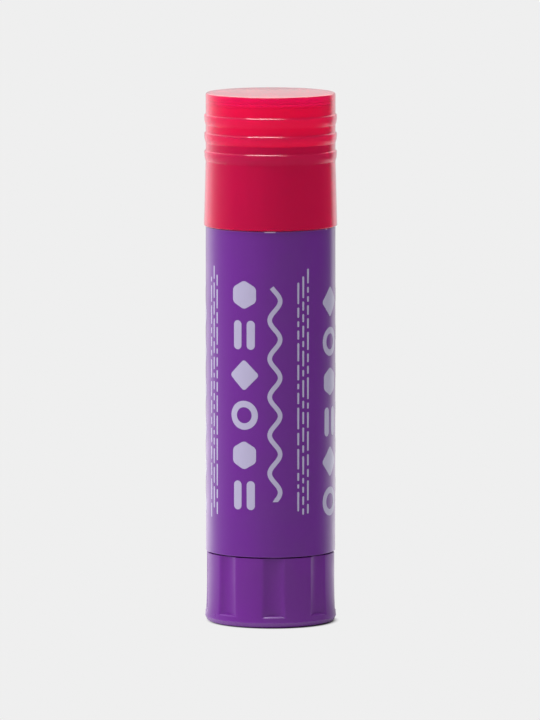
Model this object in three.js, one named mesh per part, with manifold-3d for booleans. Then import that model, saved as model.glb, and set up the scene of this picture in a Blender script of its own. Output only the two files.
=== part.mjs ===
// Glue stick with a twist base: barrel, screw drive, glue column and push-on cap.
// Lengths are in millimetres, +Z is up, and the origin is on the floor under the middle of the base.
// The front of the stick faces -Y.

import * as THREE from "three";
import { mergeVertices } from "three/addons/utils/BufferGeometryUtils.js";
import Module from "manifold-3d";

const wasm = await Module();
wasm.setup();

// Driving dimensions

// Base knob
const KNOB_HEIGHT = 11.3;
const KNOB_INSET = 0.075;
const FLANGE_STEP = 0.22;
const FLANGE_HEIGHT = 1.2;
const FLARE_HEIGHT = 7.5;
const FLARE_STEPS = 5;
const FOOT_ROUND = 0.3;
const FOOT_ROUND_STEPS = 3;
const FOOT_RIM_WIDTH = 1.75;
const FOOT_RECESS = 0.8;
const KNOB_FLOOR_THICKNESS = 1.6;
const KNOB_INNER_CORNER = 0.3;
const KNOB_TOP_CHAMFER = 0.22;
const FLUTE_COUNT = 8;
const FLUTE_WIDTH = 3.3;
const FLUTE_DEPTH = 0.5;
const FLUTE_LEDGE_HEIGHT = 2;
const FLUTE_TURN_DEGREES = 2.8;
const SOCKET_WALL = 0.98;

// Barrel
const SEAM_GAP = 0.26;
const BODY_RADIUS = 10.35;
const BODY_LENGTH = 52.84;
const BODY_EDGE = 0.12;
const SHOULDER_STEP = 0.9;
const NECK_LENGTH = 13.6;
const BEAD_HEIGHT = 0.2;
const BEAD_WIDTH = 1.2;
const BEAD_FLAT = 0.4;
const BEAD_ABOVE_SHOULDER = 3;
const MOUTH_CHAMFER = 0.3;
const MOUTH_INNER_CHAMFER = 0.15;
const BODY_WALL = 1.9;
const FLOOR_THICKNESS = 1.3;
const GUIDE_RIB_COUNT = 3;
const GUIDE_RIB_WIDTH = 1.2;
const GUIDE_RIB_HEIGHT = 0.6;
const GUIDE_RIB_BELOW_MOUTH = 0.8;
const GUIDE_RIB_TURN_DEGREES = 180;

// Snap joint between barrel and knob
const SPIGOT_STEP = 1.75;
const SPIGOT_WALL = 0.9;
const SPIGOT_LENGTH = 5.06;
const SNAP_HEIGHT = 0.4;
const SNAP_WIDTH = 1.2;
const SNAP_LEAD_IN = 0.6;
const SNAP_CATCH = 0.25;
const SNAP_ABOVE_END = 0.4;
const SNAP_SIDE_CLEARANCE = 0.3;
const KNOB_CLEARANCE = 0.2;

// Wrap label
const LABEL_THICKNESS = 0.12;
const LABEL_CLEARANCE = 0.03;
const LABEL_MARGIN = 0.08;

// Cap
const CAP_SEAT_GAP = 0.22;
const CAP_HEADROOM = 6.8;
const CAP_TOP_WALL = 0.7;
const CAP_MOUTH_WALL = 0.99;
const CAP_TOP_EDGE = 0.3;
const CAP_ROOF = 1.2;
const CAP_INNER_CORNER = 0.5;
const CAP_LEAD_IN = 0.3;
const CAP_BEAD_CLEARANCE = 0.15;
const CAP_RIB_COUNT = 3;
const CAP_RIB_PITCH = 2.93;
const CAP_RIB_BELOW_TOP = 3.34;
const CAP_RIB_HEIGHT = 0.225;
const CAP_RIB_STEEP_SIDE = 0.4;
const CAP_RIB_WIDTH = 1.75;

// Spindle
const THREAD_LEAD = 5.2;
const THREAD_RADIUS = 2.9;
const THREAD_DEPTH = 0.8;
const THREAD_CREST_WIDTH = 0.9;
const THREAD_FLANK_WIDTH = 0.4;
const THREAD_TIP_CHAMFER = 0.9;
const JOURNAL_STEP = 0.05;
const JOURNAL_CLEARANCE = 0.2;
const JOURNAL_ABOVE_FLOOR = 0.1;
const COLLAR_STEP = 1.05;
const COLLAR_THICKNESS = 1.2;
const COLLAR_CLEARANCE = 0.2;
const DRIVE_SQUARE = 4.6;
const DRIVE_END_CLEARANCE = 0.46;
const DRIVE_CLEARANCE = 0.12;

// Carrier
const NUT_ABOVE_FLOOR = 0.4;
const NUT_WALL = 1.8;
const NUT_LENGTH = 7.8;
const NUT_CHAMFER = 0.4;
const THREAD_CLEARANCE = 0.25;
const NUT_ENGAGEMENT = 7.2;
const DISC_THICKNESS = 1.4;
const DISC_EDGE = 0.3;
const RIM_HEIGHT = 2.5;
const RIM_WALL = 0.8;
const CARRIER_CLEARANCE = 0.25;
const GUIDE_CLEARANCE = 0.3;
const STOP_BELOW_MOUTH = 1.04;
const GUSSET_TURN_DEGREES = 0;
const GUSSET_THICKNESS = 0.9;
const GUSSET_HEIGHT = 3.5;
const GUSSET_FROM_EDGE = 0.9;
const FIN_COUNT = 4;
const FIN_TURN_DEGREES = 45;
const FIN_THICKNESS = 0.8;
const FIN_LENGTH = 2.2;
const FIN_FROM_RIM = 0.8;
const FIN_HEIGHT = 1.8;

// Glue column
const GLUE_CLEARANCE = 0.3;
const GLUE_SEAT_GAP = 0.2;
const GLUE_BELOW_MOUTH = 1.5;
const GLUE_TOP_EDGE = 0.6;
const GLUE_BORE_CLEARANCE = 0.35;
const GLUE_BORE_END_CLEARANCE = 0.7;

// Smoothness of round surfaces
const ROUND_SIDES = 48;
const SMALL_SIDES = 24;
const FLUTE_CUTTER_SIDES = 40;
const SPINDLE_STEP_DEGREES = 30;
const NUT_STEP_DEGREES = 20;
const MERGE_TOLERANCE = 1e-5;

// How far a cutter runs past the face that it cuts through, and a joined detail into what carries it
const CUT_OVERRUN = 1;
const JOIN_DEPTH = 0.4;

// Sizes and places that follow from the driving dimensions

// Radii, from the barrel outwards and inwards
const labelInner = BODY_RADIUS + LABEL_CLEARANCE;
const labelOuter = labelInner + LABEL_THICKNESS;
const knobRadius = labelOuter - KNOB_INSET;
const flangeRadius = knobRadius + FLANGE_STEP;
const neckRadius = BODY_RADIUS - SHOULDER_STEP;
const beadRadius = neckRadius + BEAD_HEIGHT;
const boreRadius = BODY_RADIUS - BODY_WALL;
const spigotRadius = BODY_RADIUS - SPIGOT_STEP;
const snapRadius = spigotRadius + SNAP_HEIGHT;
const capInner = beadRadius + CAP_BEAD_CLEARANCE;
const capTopRadius = capInner + CAP_TOP_WALL;
const journalRadius = THREAD_RADIUS + JOURNAL_STEP;
const collarRadius = journalRadius + COLLAR_STEP;
const nutRadius = THREAD_RADIUS + NUT_WALL;
const carrierRadius = boreRadius - CARRIER_CLEARANCE;
const rimInner = carrierRadius - RIM_WALL;

// Heights in the barrel, from the lower edge of its body
const floorTop = FLOOR_THICKNESS;
const spigotEnd = -SPIGOT_LENGTH;
const snapBottom = spigotEnd + SNAP_ABOVE_END;
const snapTop = snapBottom + SNAP_WIDTH;
const neckTop = BODY_LENGTH + NECK_LENGTH;

// Heights in the carrier, from the lower end of its nut
const discTop = NUT_LENGTH + DISC_THICKNESS;
const rimTop = discTop + RIM_HEIGHT;

// Heights above the floor
const knobFloorTop = FOOT_RECESS + KNOB_FLOOR_THICKNESS;
const seamHeight = KNOB_HEIGHT + SEAM_GAP;
const collarTop = seamHeight - COLLAR_CLEARANCE;
const collarBottom = collarTop - COLLAR_THICKNESS;
const socketTop = collarBottom - COLLAR_CLEARANCE;
const nutBottom = seamHeight + floorTop + NUT_ABOVE_FLOOR;
const mouthHeight = seamHeight + neckTop;
const carrierTravel = mouthHeight - STOP_BELOW_MOUTH - (nutBottom + rimTop);
const spindleTop = nutBottom + carrierTravel + NUT_ENGAGEMENT;

// A closed three.js geometry as a solid that can be joined and cut.
function toSolid(geometry) {
  const bare = geometry.clone();
  bare.deleteAttribute("normal");
  bare.deleteAttribute("uv");
  const merged = mergeVertices(bare, MERGE_TOLERANCE);
  const mesh = new wasm.Mesh({
    numProp: 3,
    vertProperties: merged.attributes.position.array,
    triVerts: new Uint32Array(merged.index.array),
  });
  return new wasm.Manifold(mesh);
}

// A finished solid as a three.js geometry.
function toGeometry(solid) {
  const mesh = solid.getMesh();
  const geometry = new THREE.BufferGeometry();
  geometry.setAttribute("position", new THREE.BufferAttribute(mesh.vertProperties, mesh.numProp));
  geometry.setIndex(new THREE.BufferAttribute(mesh.triVerts, 1));
  geometry.computeVertexNormals();
  return geometry;
}

// A solid turned about Z. Its outline is a list of [radius, height] that runs anticlockwise.
function turned(outline, sides = ROUND_SIDES) {
  const points = outline.map(([radius, height]) => new THREE.Vector2(radius, height));
  return toSolid(new THREE.LatheGeometry(points, sides).rotateX(Math.PI / 2));
}

// An upright round bar on the Z axis.
function bar(radius, bottom, top) {
  const outline = [
    [0, bottom],
    [radius, bottom],
    [radius, top],
    [0, top],
  ];
  return turned(outline, SMALL_SIDES);
}

// An upright square bar on the Z axis.
function squareBar(width, bottom, top) {
  const box = new THREE.BoxGeometry(width, width, top - bottom);
  return toSolid(box.translate(0, 0, (top + bottom) / 2));
}

// Equal upright blades that stand round the Z axis, from an inner to an outer radius.
function blades({ count, startDegrees, width, inner, outer, bottom, top }) {
  const joined = Array.from({ length: count }, (_, index) => {
    const blade = new THREE.BoxGeometry(width, outer - inner, top - bottom);
    blade.translate(0, -(outer + inner) / 2, (top + bottom) / 2);
    blade.rotateZ(THREE.MathUtils.degToRad(startDegrees + (index * 360) / count));
    return toSolid(blade);
  });
  return joined.reduce((all, blade) => all.add(blade));
}

// The space that the barrel's guide ribs need in a piece that slides along them.
function guideSlots(bottom, top) {
  return blades({
    count: GUIDE_RIB_COUNT,
    startDegrees: GUIDE_RIB_TURN_DEGREES,
    width: GUIDE_RIB_WIDTH + 2 * GUIDE_CLEARANCE,
    inner: boreRadius - GUIDE_RIB_HEIGHT - GUIDE_CLEARANCE,
    outer: boreRadius + CUT_OVERRUN,
    bottom,
    top,
  });
}

// The grip fins on the carrier, or with a clearance the slots that they fill in the glue.
function gripFins(clearance) {
  return blades({
    count: FIN_COUNT,
    startDegrees: FIN_TURN_DEGREES,
    width: FIN_THICKNESS + 2 * clearance,
    inner: rimInner - FIN_FROM_RIM - FIN_LENGTH - clearance,
    outer: rimInner - FIN_FROM_RIM + clearance,
    bottom: discTop - JOIN_DEPTH,
    top: discTop + FIN_HEIGHT + clearance,
  });
}

// Points on an arc about the Z axis, as many as keep each step within a largest angle.
function arc(radius, start, end, largestStep) {
  const count = Math.ceil((end - start) / THREE.MathUtils.degToRad(largestStep));
  return Array.from({ length: count + 1 }, (_, index) => {
    const angle = start + (index * (end - start)) / count;
    return new THREE.Vector2(radius * Math.cos(angle), radius * Math.sin(angle));
  });
}

// A left-hand screw along Z: a round core with one ridge, drawn as a section and twisted.
// The ridge takes the share of a turn that its width takes of the lead.
function screw({ clearance, bottom, top, largestStep }) {
  const crestWidth = THREAD_CREST_WIDTH + 2 * clearance;
  const crestHalf = (Math.PI * crestWidth) / THREAD_LEAD;
  const rootHalf = (Math.PI * (crestWidth + 2 * THREAD_FLANK_WIDTH)) / THREAD_LEAD;
  const crestRadius = THREAD_RADIUS + clearance;
  const section = [
    ...arc(crestRadius, -crestHalf, crestHalf, largestStep),
    ...arc(crestRadius - THREAD_DEPTH, rootHalf, 2 * Math.PI - rootHalf, largestStep),
  ];
  const turns = (top - bottom) / THREAD_LEAD;
  const steps = Math.ceil((turns * 360) / largestStep);
  const settings = { depth: top - bottom, steps, bevelEnabled: false };
  const twisted = new THREE.ExtrudeGeometry(new THREE.Shape(section), settings);
  twisted.translate(0, 0, bottom);
  const places = twisted.attributes.position;
  const place = new THREE.Vector3();
  const axis = new THREE.Vector3(0, 0, 1);
  for (let index = 0; index < places.count; index += 1) {
    place.fromBufferAttribute(places, index);
    place.applyAxisAngle(axis, (-2 * Math.PI * place.z) / THREAD_LEAD);
    places.setXYZ(index, place.x, place.y, place.z);
  }
  return toSolid(twisted);
}

// The foot's rounded edge, a quarter of an ellipse from the floor up to the flange's widest ring.
function footRound() {
  return Array.from({ length: FOOT_ROUND_STEPS + 1 }, (_, index) => {
    const angle = (index * Math.PI) / (2 * FOOT_ROUND_STEPS);
    return [flangeRadius - FOOT_ROUND * (1 - Math.sin(angle)), FLANGE_HEIGHT * (1 - Math.cos(angle))];
  });
}

// The flare above the flange, a parabola that runs out into the knob's side.
function flare() {
  return Array.from({ length: FLARE_STEPS }, (_, index) => {
    const share = (index + 1) / FLARE_STEPS;
    const radius = knobRadius + (flangeRadius - knobRadius) * (1 - share) ** 2;
    return [radius, FLANGE_HEIGHT + share * (FLARE_HEIGHT - FLANGE_HEIGHT)];
  });
}

// The base knob stands on the floor, with flutes round it and a square socket for the spindle.
function baseKnob() {
  const landRadius = spigotRadius + KNOB_CLEARANCE;
  const grooveRadius = snapRadius + SNAP_SIDE_CLEARANCE;
  const grooveBottom = seamHeight + snapBottom - SNAP_SIDE_CLEARANCE;
  const grooveTop = seamHeight + snapTop + SNAP_SIDE_CLEARANCE;
  const grooveSlope = grooveRadius - landRadius;
  const footInner = flangeRadius - FOOT_ROUND - FOOT_RIM_WIDTH;
  const socketWidth = DRIVE_SQUARE + 2 * DRIVE_CLEARANCE;
  const socketRadius = socketWidth / Math.SQRT2 + SOCKET_WALL;
  const body = turned([
    [0, FOOT_RECESS],
    [footInner - FOOT_ROUND, FOOT_RECESS],
    [footInner, 0],
    ...footRound(),
    ...flare(),
    [knobRadius, KNOB_HEIGHT - KNOB_TOP_CHAMFER],
    [knobRadius - KNOB_TOP_CHAMFER, KNOB_HEIGHT],
    [landRadius + KNOB_TOP_CHAMFER, KNOB_HEIGHT],
    [landRadius, KNOB_HEIGHT - KNOB_TOP_CHAMFER],
    [landRadius, grooveTop + grooveSlope],
    [grooveRadius, grooveTop],
    [grooveRadius, grooveBottom],
    [landRadius, grooveBottom - grooveSlope],
    [landRadius, knobFloorTop + KNOB_INNER_CORNER],
    [landRadius - KNOB_INNER_CORNER, knobFloorTop],
    [socketRadius, knobFloorTop],
    [socketRadius, socketTop],
    [0, socketTop],
  ]);
  const socket = squareBar(socketWidth, knobFloorTop, socketTop + CUT_OVERRUN);
  return body.subtract(socket).subtract(flutes());
}

// The flutes are one round cutter's path down the knob's side, repeated.
// The cutter's radius gives the flute its width at the knob's face and its depth in the middle.
function flutes() {
  const half = FLUTE_WIDTH / 2;
  const edgeDrop = knobRadius - Math.sqrt(knobRadius ** 2 - half ** 2);
  const rise = FLUTE_DEPTH - edgeDrop;
  const cutterRadius = (half ** 2 + rise ** 2) / (2 * rise);
  const cutterPlace = knobRadius - FLUTE_DEPTH + cutterRadius;
  const top = KNOB_HEIGHT + CUT_OVERRUN;
  const cutters = Array.from({ length: FLUTE_COUNT }, (_, index) => {
    const length = top - FLUTE_LEDGE_HEIGHT;
    const cutter = new THREE.CylinderGeometry(cutterRadius, cutterRadius, length, FLUTE_CUTTER_SIDES);
    cutter.rotateX(Math.PI / 2);
    cutter.translate(0, -cutterPlace, (top + FLUTE_LEDGE_HEIGHT) / 2);
    cutter.rotateZ(THREE.MathUtils.degToRad(FLUTE_TURN_DEGREES + (index * 360) / FLUTE_COUNT));
    return toSolid(cutter);
  });
  return cutters.reduce((all, cutter) => all.add(cutter));
}

// The barrel's own zero height is the lower edge of its body, where it meets the knob.
function barrel() {
  const spigotInner = spigotRadius - SPIGOT_WALL;
  const holeRadius = journalRadius + JOURNAL_CLEARANCE;
  const beadMiddle = BODY_LENGTH + BEAD_ABOVE_SHOULDER + BEAD_WIDTH / 2;
  const shell = turned([
    [holeRadius, 0],
    [spigotInner, 0],
    [spigotInner, spigotEnd],
    [spigotRadius, spigotEnd],
    [spigotRadius, snapBottom],
    [snapRadius, snapBottom + SNAP_LEAD_IN],
    [snapRadius, snapTop - SNAP_CATCH],
    [spigotRadius, snapTop],
    [spigotRadius, 0],
    [BODY_RADIUS - BODY_EDGE, 0],
    [BODY_RADIUS, BODY_EDGE],
    [BODY_RADIUS, BODY_LENGTH - BODY_EDGE],
    [BODY_RADIUS - BODY_EDGE, BODY_LENGTH],
    [neckRadius, BODY_LENGTH],
    [neckRadius, beadMiddle - BEAD_WIDTH / 2],
    [beadRadius, beadMiddle - BEAD_FLAT / 2],
    [beadRadius, beadMiddle + BEAD_FLAT / 2],
    [neckRadius, beadMiddle + BEAD_WIDTH / 2],
    [neckRadius, neckTop - MOUTH_CHAMFER],
    [neckRadius - MOUTH_CHAMFER, neckTop],
    [boreRadius + MOUTH_INNER_CHAMFER, neckTop],
    [boreRadius, neckTop - MOUTH_CHAMFER],
    [boreRadius, floorTop],
    [holeRadius, floorTop],
    [holeRadius, 0],
  ]);
  const ribs = blades({
    count: GUIDE_RIB_COUNT,
    startDegrees: GUIDE_RIB_TURN_DEGREES,
    width: GUIDE_RIB_WIDTH,
    inner: boreRadius - GUIDE_RIB_HEIGHT,
    outer: boreRadius + JOIN_DEPTH,
    bottom: floorTop - JOIN_DEPTH,
    top: neckTop - GUIDE_RIB_BELOW_MOUTH,
  });
  return shell.add(ribs);
}

// The label is a sleeve of film round the barrel's body, from edge to edge.
function wrapLabel() {
  const length = BODY_LENGTH - 2 * LABEL_MARGIN;
  return turned([
    [labelInner, 0],
    [labelOuter, 0],
    [labelOuter, length],
    [labelInner, length],
    [labelInner, 0],
  ]);
}

// The three ribs of the cap's grip, from the lowest up. Each is steep above and slopes away below.
function capRibs(capHeight) {
  const outline = [];
  for (let index = CAP_RIB_COUNT - 1; index >= 0; index -= 1) {
    const top = capHeight - CAP_RIB_BELOW_TOP - index * CAP_RIB_PITCH;
    outline.push([capTopRadius, top - CAP_RIB_WIDTH]);
    outline.push([capTopRadius + CAP_RIB_HEIGHT, top - CAP_RIB_STEEP_SIDE]);
    outline.push([capTopRadius, top]);
  }
  return outline;
}

// The cap's own zero height is its lower edge.
function cap() {
  const roofBottom = NECK_LENGTH - CAP_SEAT_GAP + CAP_HEADROOM;
  const height = roofBottom + CAP_ROOF;
  return turned([
    [0, roofBottom],
    [capInner - CAP_INNER_CORNER, roofBottom],
    [capInner, roofBottom - CAP_INNER_CORNER],
    [capInner, CAP_LEAD_IN],
    [capInner + CAP_LEAD_IN, 0],
    [capInner + CAP_MOUTH_WALL, 0],
    ...capRibs(height),
    [capTopRadius, height - CAP_TOP_EDGE],
    [capTopRadius - CAP_TOP_EDGE, height],
    [0, height],
  ]);
}

// The spindle stands in the knob's socket on its square foot. Its collar bears under the barrel's floor.
function spindle() {
  const journalTop = seamHeight + floorTop + JOURNAL_ABOVE_FLOOR;
  const tipInner = THREAD_RADIUS - THREAD_TIP_CHAMFER;
  const envelope = turned([
    [0, collarTop],
    [THREAD_RADIUS + CUT_OVERRUN, collarTop],
    [THREAD_RADIUS + CUT_OVERRUN, spindleTop - THREAD_TIP_CHAMFER - CUT_OVERRUN],
    [tipInner, spindleTop],
    [0, spindleTop],
  ], SMALL_SIDES);
  const thread = screw({
    clearance: 0,
    bottom: collarTop,
    top: spindleTop,
    largestStep: SPINDLE_STEP_DEGREES,
  });
  return thread
    .intersect(envelope)
    .add(bar(journalRadius, collarBottom, journalTop))
    .add(bar(collarRadius, collarBottom, collarTop))
    .add(squareBar(DRIVE_SQUARE, knobFloorTop + DRIVE_END_CLEARANCE, collarBottom + JOIN_DEPTH));
}

// The carrier's own zero height is the lower end of its nut.
function carrier() {
  const body = turned([
    [0, 0],
    [nutRadius - NUT_CHAMFER, 0],
    [nutRadius, NUT_CHAMFER],
    [nutRadius, NUT_LENGTH],
    [carrierRadius - DISC_EDGE, NUT_LENGTH],
    [carrierRadius, NUT_LENGTH + DISC_EDGE],
    [carrierRadius, rimTop],
    [rimInner, rimTop],
    [rimInner, discTop],
    [0, discTop],
  ]);
  const gussets = blades({
    count: GUIDE_RIB_COUNT,
    startDegrees: GUSSET_TURN_DEGREES,
    width: GUSSET_THICKNESS,
    inner: nutRadius - JOIN_DEPTH,
    outer: carrierRadius - GUSSET_FROM_EDGE,
    bottom: NUT_LENGTH - GUSSET_HEIGHT,
    top: NUT_LENGTH + JOIN_DEPTH,
  });
  return body
    .add(gussets)
    .add(gripFins(0))
    .subtract(guideSlots(-CUT_OVERRUN, rimTop + CUT_OVERRUN))
    .subtract(nutThread());
}

// The nut's thread is the space that the turning spindle needs, in the carrier's own heights.
function nutThread() {
  const space = screw({
    clearance: THREAD_CLEARANCE,
    bottom: nutBottom - CUT_OVERRUN,
    top: nutBottom + discTop + CUT_OVERRUN,
    largestStep: NUT_STEP_DEGREES,
  });
  return space.translate(0, 0, -nutBottom);
}

// The glue is cast on the carrier: its foot fills the rim, and its bore clears the spindle.
// It is drawn in the carrier's own heights.
function glueStick() {
  const radius = boreRadius - GLUE_CLEARANCE;
  const footRadius = rimInner - GLUE_SEAT_GAP;
  const holeRadius = THREAD_RADIUS + GLUE_BORE_CLEARANCE;
  const bottom = discTop + GLUE_SEAT_GAP;
  const step = rimTop + GLUE_SEAT_GAP;
  const top = mouthHeight - GLUE_BELOW_MOUTH - nutBottom;
  const holeEnd = spindleTop + GLUE_BORE_END_CLEARANCE - nutBottom;
  const column = turned([
    [0, holeEnd],
    [holeRadius, holeEnd],
    [holeRadius, bottom],
    [footRadius, bottom],
    [footRadius, step],
    [radius, step],
    [radius, top - GLUE_TOP_EDGE],
    [radius - GLUE_TOP_EDGE, top],
    [0, top],
  ]);
  return column
    .subtract(guideSlots(bottom - CUT_OVERRUN, top + CUT_OVERRUN))
    .subtract(gripFins(GLUE_SEAT_GAP));
}

// Finishes

const purplePlastic = { color: 0x5b2a86, roughness: 0.42, metalness: 0 };
const deepPurplePlastic = { color: 0x4b1f70, roughness: 0.45, metalness: 0 };
const purpleFilm = { color: 0x6a3396, roughness: 0.35, metalness: 0 };
const redClearPlastic = { color: 0xe0144a, roughness: 0.2, metalness: 0, transparent: true, opacity: 0.85 };
const naturalPlastic = { color: 0xe8e6df, roughness: 0.5, metalness: 0 };
const whiteGlue = { color: 0xf4f2ea, roughness: 0.6, metalness: 0 };

// A named piece at its height.
function piece(name, solid, finish, height = 0) {
  const mesh = new THREE.Mesh(toGeometry(solid), new THREE.MeshStandardMaterial(finish));
  mesh.name = name;
  mesh.position.z = height;
  return mesh;
}

// The pieces that turn together
const turning = new THREE.Group();
turning.add(piece("base_knob", baseKnob(), purplePlastic));
turning.add(piece("spindle", spindle(), naturalPlastic));

// The pieces that rise together
const rising = new THREE.Group();
rising.position.z = nutBottom;
rising.add(piece("carrier", carrier(), naturalPlastic));
rising.add(piece("glue_stick", glueStick(), whiteGlue));

const group = new THREE.Group();
group.add(turning);
group.add(rising);
group.add(piece("barrel", barrel(), deepPurplePlastic, seamHeight));
group.add(piece("wrap_label", wrapLabel(), purpleFilm, seamHeight + LABEL_MARGIN));
group.add(piece("cap", cap(), redClearPlastic, seamHeight + BODY_LENGTH + CAP_SEAT_GAP));

export default group;
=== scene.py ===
# %% [markdown]
# A glue stick, dressed for its photograph.
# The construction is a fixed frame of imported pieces, in metres, with +Z up. This script gives each piece its
# fine surface and its finish. Nothing in the frame is moved: where a piece needs a finer shape than its
# faceted solid has, a new mesh of the same size stands in for it.

# %% Load the frame
import math
import random

import bmesh
import bpy
from mathutils import Matrix, Vector


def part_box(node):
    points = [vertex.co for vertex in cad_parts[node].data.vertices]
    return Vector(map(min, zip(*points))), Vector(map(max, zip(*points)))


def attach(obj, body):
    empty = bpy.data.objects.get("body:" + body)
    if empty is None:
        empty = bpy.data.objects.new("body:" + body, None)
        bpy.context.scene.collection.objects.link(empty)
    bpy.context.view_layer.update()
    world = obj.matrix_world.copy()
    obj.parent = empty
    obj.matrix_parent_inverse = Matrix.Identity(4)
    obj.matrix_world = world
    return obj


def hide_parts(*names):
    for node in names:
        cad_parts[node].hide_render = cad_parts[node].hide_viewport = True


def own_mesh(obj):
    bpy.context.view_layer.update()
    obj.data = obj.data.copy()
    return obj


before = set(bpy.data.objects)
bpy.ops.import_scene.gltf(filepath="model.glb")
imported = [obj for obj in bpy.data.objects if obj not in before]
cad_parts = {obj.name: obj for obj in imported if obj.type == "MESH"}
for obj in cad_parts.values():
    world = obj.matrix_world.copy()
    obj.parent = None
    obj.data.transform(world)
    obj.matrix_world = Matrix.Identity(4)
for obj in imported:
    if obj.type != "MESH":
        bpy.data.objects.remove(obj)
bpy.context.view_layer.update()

MM = 0.001

# %% [markdown]
# The camera comes first, because every choice of finish is judged through it. The photograph was taken from
# about a metre and a half away with a long lens, a little above the stick, so its sides look almost parallel.
# The lens below is the one that puts the cap, the seam and the foot at their places in a picture that is
# 540 pixels wide and 720 high.

# %% Camera
CAMERA_DISTANCE = 1.5
CAMERA_HEIGHT = 0.21085
AIM_HEIGHT = 0.04252
LENS_MM = 465.8
SENSOR_MM = 36
SIDE_SHIFT = -0.00083

camera_data = bpy.data.cameras.new("photo_camera")
camera_data.lens = LENS_MM
camera_data.sensor_width = SENSOR_MM
camera_data.shift_x = SIDE_SHIFT
camera = bpy.data.objects.new("photo_camera", camera_data)
camera.location = (0, -CAMERA_DISTANCE, CAMERA_HEIGHT)
aim = Vector((0, 0, AIM_HEIGHT)) - camera.location
camera.rotation_euler = aim.to_track_quat("-Z", "Y").to_euler()
bpy.context.collection.objects.link(camera)
bpy.context.scene.camera = camera
bpy.context.scene.view_settings.view_transform = "Standard"
print("the camera looks down by", round(math.degrees(math.asin(-aim.normalized().z)), 2), "degrees")

# %% [markdown]
# Nearly everything here is round, so most pieces start as an outline that is spun about Z. Moulded plastic
# has no knife edges: each corner of an outline gets a small rounding, drawn as a short curve. A spin gives a
# mesh with even columns, and smooth shading with sharp creases kept makes it look turned.

# %% Helpers for turned pieces
CORNER_STEPS = 5
CREASE_DEGREES = 40
WELD_DISTANCE = 0.002 * MM


def rounded(corners):
    """An outline from corners (radius, height, rounding) in millimetres, with a curve at each rounded one."""
    outline = []
    for index, (radius, height, rounding) in enumerate(corners):
        corner = Vector((radius, height))
        if not rounding:
            outline.append(corner)
            continue
        before = Vector(corners[index - 1][:2])
        after = Vector(corners[(index + 1) % len(corners)][:2])
        start = corner + (before - corner).normalized() * rounding
        end = corner + (after - corner).normalized() * rounding
        for step in range(CORNER_STEPS + 1):
            share = step / CORNER_STEPS
            outline.append(start.lerp(corner, share).lerp(corner.lerp(end, share), share))
    return outline


def spun(outline, columns, closed=False):
    """A bmesh of an outline spun once round Z. An outline that isn't closed starts and ends on the axis."""
    bm = bmesh.new()
    points = [bm.verts.new((point.x * MM, 0, point.y * MM)) for point in outline]
    for first, second in zip(points, points[1:]):
        bm.edges.new((first, second))
    if closed:
        bm.edges.new((points[-1], points[0]))
    whole = bm.verts[:] + bm.edges[:]
    bmesh.ops.spin(
        bm, geom=whole, axis=(0, 0, 1), cent=(0, 0, 0), angle=math.tau, steps=columns, use_merge=True)
    bmesh.ops.remove_doubles(bm, verts=bm.verts, dist=WELD_DISTANCE)
    bmesh.ops.recalc_face_normals(bm, faces=bm.faces)
    return bm


def finished(name, bm, body, materials, stands_for=None):
    """A bmesh as a piece of the scene: smooth, with creases, on its body, and hiding the part it stands for.
    """
    mesh = bpy.data.meshes.new(name)
    bm.edges.index_update()
    rims = [edge.index for edge in bm.edges if edge.is_boundary]
    bm.to_mesh(mesh)
    bm.free()
    mesh.shade_smooth()
    mesh.set_sharp_from_angle(angle=math.radians(CREASE_DEGREES))
    for rim in rims:
        mesh.edges[rim].use_edge_sharp = True
    for material in materials:
        mesh.materials.append(material)
    piece = bpy.data.objects.new(name, mesh)
    bpy.context.collection.objects.link(piece)
    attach(piece, body)
    if stands_for:
        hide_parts(stands_for)
    print(name, "has", len(mesh.polygons), "faces")
    return piece


# %% [markdown]
# Materials. Moulded polypropylene is never one flat colour: its gloss wanders a little where the mould was
# polished or the part was handled, and its surface has a faint unevenness that softens reflections. Each
# finish below is a Principled shader with noise on the object's own coordinates, so a pattern turns and
# slides with its piece.

# %% Helpers for finishes
def shader_of(name):
    """A new material, its nodes, its links and its Principled shader."""
    material = bpy.data.materials.new(name)
    material.use_nodes = True
    nodes = material.node_tree.nodes
    links = material.node_tree.links
    return material, nodes, links, nodes["Principled BSDF"]


def object_noise(nodes, links, scale, detail=3.0, stretch=(1, 1, 1)):
    """Noise on the object's coordinates, with scale as features per metre."""
    place = nodes.new("ShaderNodeTexCoord")
    mapping = nodes.new("ShaderNodeMapping")
    mapping.inputs["Scale"].default_value = stretch
    noise = nodes.new("ShaderNodeTexNoise")
    noise.inputs["Scale"].default_value = scale
    noise.inputs["Detail"].default_value = detail
    links.new(place.outputs["Object"], mapping.inputs["Vector"])
    links.new(mapping.outputs["Vector"], noise.inputs["Vector"])
    return noise.outputs["Fac"]


def spread(nodes, links, value, low, high, start=0.3, end=0.7):
    """A value remapped from start..end to low..high."""
    remap = nodes.new("ShaderNodeMapRange")
    remap.inputs["From Min"].default_value = start
    remap.inputs["From Max"].default_value = end
    remap.inputs["To Min"].default_value = low
    remap.inputs["To Max"].default_value = high
    links.new(value, remap.inputs["Value"])
    return remap.outputs["Result"]


def blended(nodes, links, value, first, second):
    """A colour between first and second, by value."""
    mix = nodes.new("ShaderNodeMix")
    mix.data_type = "RGBA"
    mix.inputs["A"].default_value = (*first, 1)
    mix.inputs["B"].default_value = (*second, 1)
    links.new(value, mix.inputs["Factor"])
    return mix.outputs["Result"]


def overlaid(nodes, links, value, under, colour):
    """A colour socket with a fixed colour laid over it, by value."""
    mix = nodes.new("ShaderNodeMix")
    mix.data_type = "RGBA"
    mix.inputs["B"].default_value = (*colour, 1)
    links.new(value, mix.inputs["Factor"])
    links.new(under, mix.inputs["A"])
    return mix.outputs["Result"]


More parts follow.
